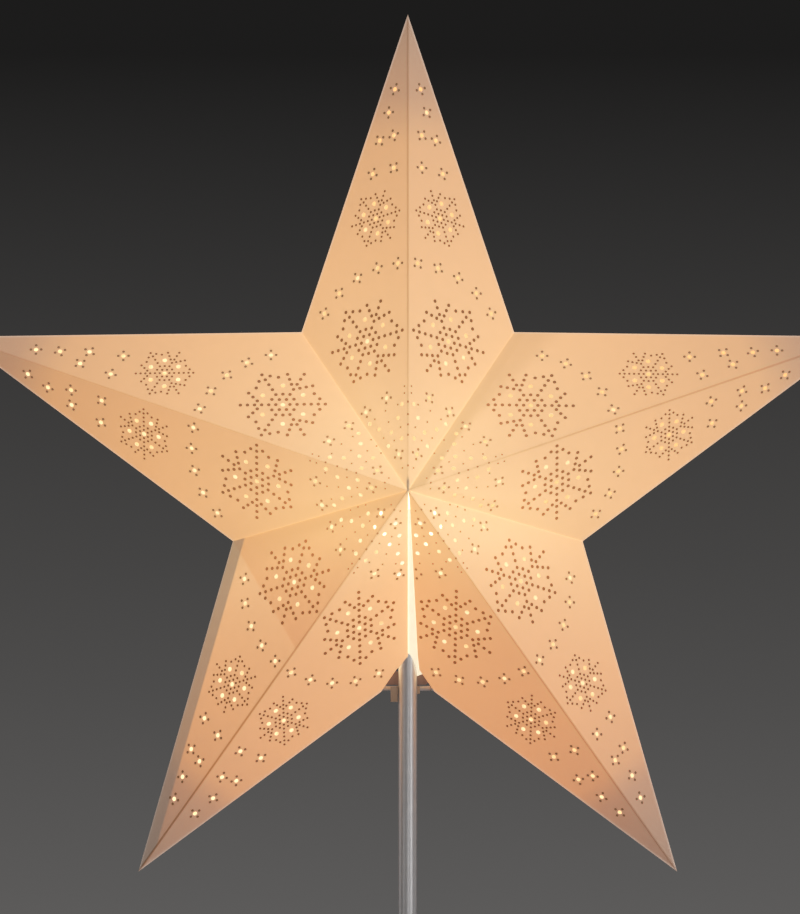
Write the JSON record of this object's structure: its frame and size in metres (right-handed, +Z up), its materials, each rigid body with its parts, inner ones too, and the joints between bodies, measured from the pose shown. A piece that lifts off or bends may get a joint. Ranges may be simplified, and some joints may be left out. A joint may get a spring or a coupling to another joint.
{
  "type": "star lamp",
  "caption": "Lit five-pointed star of folded, perforated card over a bulb on a slim metal pole with a round weighted foot.",
  "frame": {"origin": "centre of the round foot, on the surface the lamp stands on", "axes": "+Z up along the pole, +X to the right across the star seen from its front, +Y to its back"},
  "size_m": [0.5774, 0.19, 0.8],
  "materials": {
    "card": "matte",
    "seam_card": "matte",
    "flap_card": "matte",
    "wire": "satin",
    "clip_plastic": "satin",
    "brass": "satin",
    "pole_steel": "satin",
    "foot_paint": "satin",
    "cast_iron": "matte",
    "foam": "matte",
    "rubber": "matte",
    "white_plastic": "satin",
    "zinc_screw": "satin",
    "lead_sheath": "satin",
    "bakelite": "satin",
    "ceramic": "gloss",
    "solder": "satin",
    "vitrite": "gloss",
    "bulb_shell": "satin",
    "frosted_glass": "satin",
    "clear_glass": "gloss",
    "tungsten": "satin",
    "nickel_wire": "satin"
  },
  "bodies": {
    "stand": {"pole": "pole_steel", "pole_foot": "pole_steel", "foot_cover": "foot_paint", "foot_weight": "cast_iron", "foot_pad": "foam", "cable_grommet": "rubber", "cord_clamp": "white_plastic", "clamp_screws": "zinc_screw", "lower_nipple": "brass", "lower_washer": "zinc_screw", "lower_nut": "brass", "inner_lead": "lead_sheath", "upper_nipple": "brass", "upper_lock_nut": "brass", "holder_cap": "bakelite", "holder_sleeve": "bakelite", "holder_core": "ceramic", "side_contact": "brass", "centre_contact": "brass", "terminal_screws": "zinc_screw", "grub_screw": "zinc_screw"},
    "shade": {"top_arm": "card", "right_arm": "card", "lower_right_arm": "card", "lower_left_arm": "card", "left_arm": "card", "front_seam_tongue": "seam_card", "rear_seam_tongue": "seam_card", "support_wire": "wire", "wire_clip": "clip_plastic", "flap_anchor": "flap_card"},
    "flap": {"closing_flap": "flap_card", "flap_eyelet": "brass"},
    "bulb_foot": {"bulb_tip": "solder"},
    "bulb": {"bulb_insulator": "vitrite", "bulb_cap": "bulb_shell", "bulb_glass": "frosted_glass", "bulb_stem": "clear_glass", "filament": "tungsten", "filament_wires": "nickel_wire"}
  },
  "joints": [
    {"name": "shade_turn", "type": "hinge", "parent": "stand", "child": "shade", "pos_m": [0, 0, 0.37], "axis": [0, 0, 1], "continuous": true},
    {"name": "flap_fold", "type": "hinge", "parent": "shade", "child": "flap", "pos_m": [-0.01715, 0.0083, 0.374], "axis": [0, 0, 1], "range_deg": [0, 110]},
    {"name": "bulb_advance", "type": "slide", "parent": "stand", "child": "bulb_foot", "axis": [0, 0, 1], "range_m": [0, 0.0113]},
    {"name": "bulb_turn", "type": "hinge", "parent": "bulb_foot", "child": "bulb", "pos_m": [0, 0, 0.43], "axis": [0, 0, 1], "range_deg": [0, 1440]}
  ],
  "couplings": [
    {"joint": "bulb_advance", "follows": "bulb_turn", "m_per_rad": 0.00044914}
  ]
}
